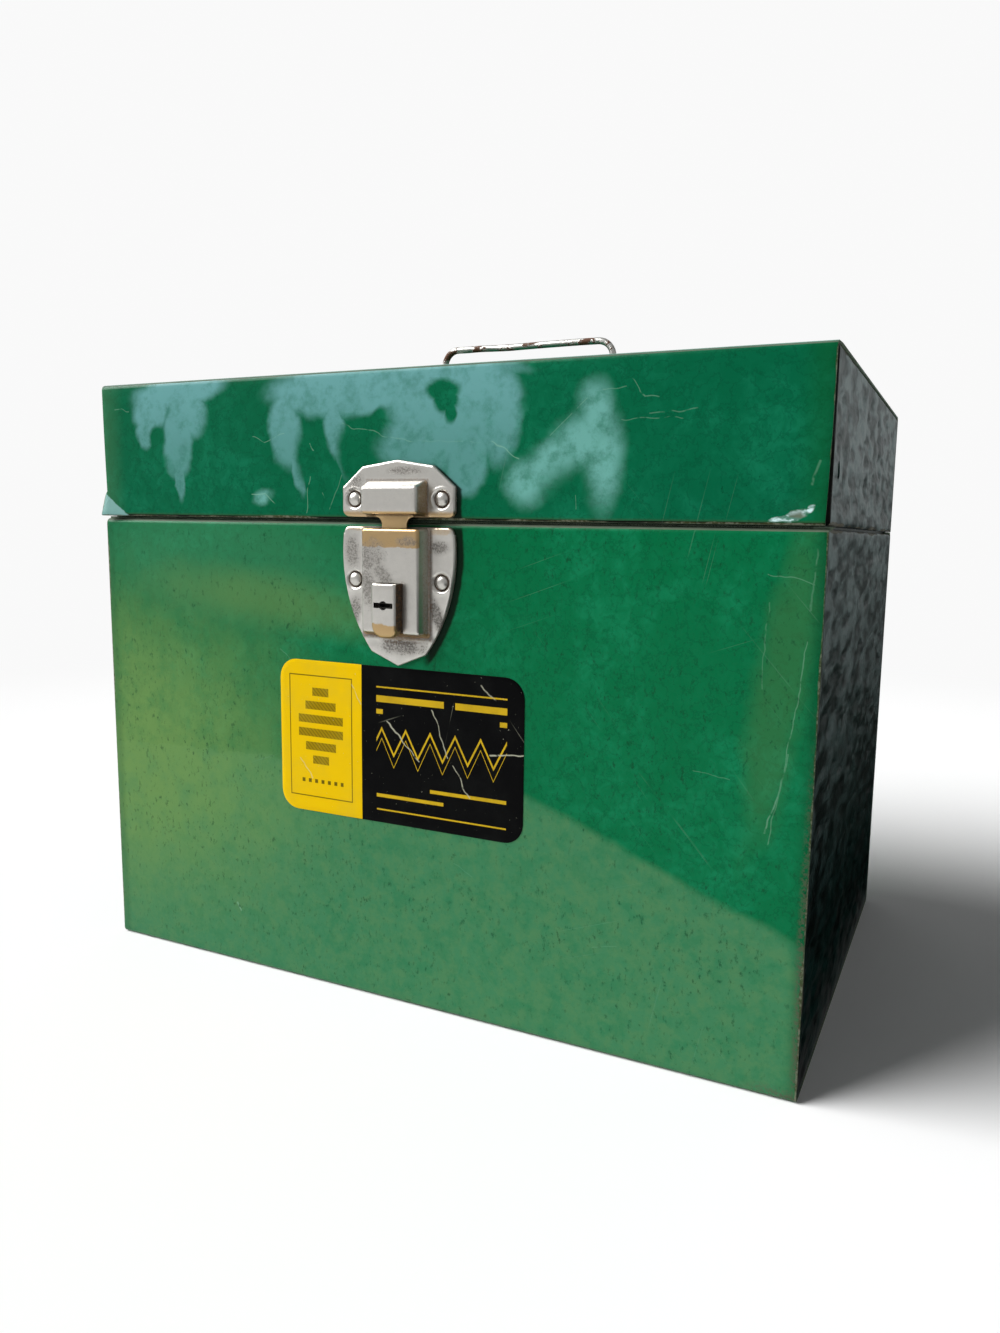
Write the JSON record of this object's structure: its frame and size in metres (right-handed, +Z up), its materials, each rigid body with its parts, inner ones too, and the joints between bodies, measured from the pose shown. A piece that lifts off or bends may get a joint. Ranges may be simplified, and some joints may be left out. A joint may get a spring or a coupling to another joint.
{
  "type": "deed box",
  "caption": "Upright sheet-steel box for papers with a hinged lid, a riveted snap lock with a sliding thumb piece, a folding wire bail and a plain two-tone label.",
  "frame": {"origin": "middle of the flat underside, where the box stands", "axes": "+X to the right along the front, the longest side; +Y to the back; +Z up; the front with the lock faces -Y"},
  "size_m": [0.311, 0.218, 0.276],
  "materials": {
    "green_enamel_body": "glossy mottled green enamel, worn at the edges",
    "green_enamel_lid": "glossy mottled green enamel, worn at the hem",
    "dark_enamel_ends": "near-black enamel over rippled sheet, glossy",
    "green_enamel_rim": "green enamel, rubbed by the lid",
    "hinge_steel": "green enamel over steel, rubbed on the knuckles",
    "dark_steel": "plain steel, dulled",
    "nickel_plate": "satin nickel plate with dark smudges and brass-coloured wear",
    "rivet_steel": "nickel-plated domed rivets",
    "bail_wire": "bright plated wire with rust patches",
    "clip_steel": "plated pressed steel, lightly rusted",
    "label_print": "printed yellow and black, scratched"
  },
  "bodies": {
    "box": {"body_wrapper": "green_enamel_body", "body_side_left": "dark_enamel_ends", "body_side_right": "dark_enamel_ends", "mouth_rim": "green_enamel_rim", "hinge_leaf_body": "hinge_steel", "hinge_pin": "dark_steel", "latch_plate": "nickel_plate", "latch_case": "nickel_plate", "catch_spring": "dark_steel", "latch_rivets": "rivet_steel", "label": "label_print"},
    "lid": {"lid_wrapper": "green_enamel_lid", "lid_side_left": "dark_enamel_ends", "lid_side_right": "dark_enamel_ends", "hinge_leaf_lid": "hinge_steel", "strike_plate": "nickel_plate", "strike_housing": "nickel_plate", "strike_tongue": "nickel_plate", "strike_rivets": "rivet_steel", "handle_clip_left": "clip_steel", "handle_clip_right": "clip_steel", "handle_rivets": "rivet_steel"},
    "handle": {"bail_handle": "bail_wire"},
    "thumb_piece": {"thumb_slide": "nickel_plate"},
    "lock_barrel": {"lock_plug": "dark_steel"}
  },
  "joints": [
    {"name": "lid_hinge", "type": "hinge", "parent": "box", "child": "lid", "pos_m": [0, 0.1037, 0.1925], "axis": [-1, 0, 0], "range_deg": [0, 180], "deforming": ["catch_spring"]},
    {"name": "handle_pivot", "type": "hinge", "parent": "lid", "child": "handle", "pos_m": [0, 0, 0.25085], "axis": [1, 0, 0], "range_deg": [-90, 90]},
    {"name": "thumb_press", "type": "slide", "parent": "box", "child": "thumb_piece", "axis": [0, 0, -1], "range_m": [0, 0.004], "stiffness_N_per_m": 400, "springref_m": -0.001, "deforming": ["catch_spring"]},
    {"name": "lock_turn", "type": "hinge", "parent": "box", "child": "lock_barrel", "pos_m": [-0.0022, -0.1015, 0.1612], "axis": [0, -1, 0], "range_deg": [0, 70]}
  ]
}
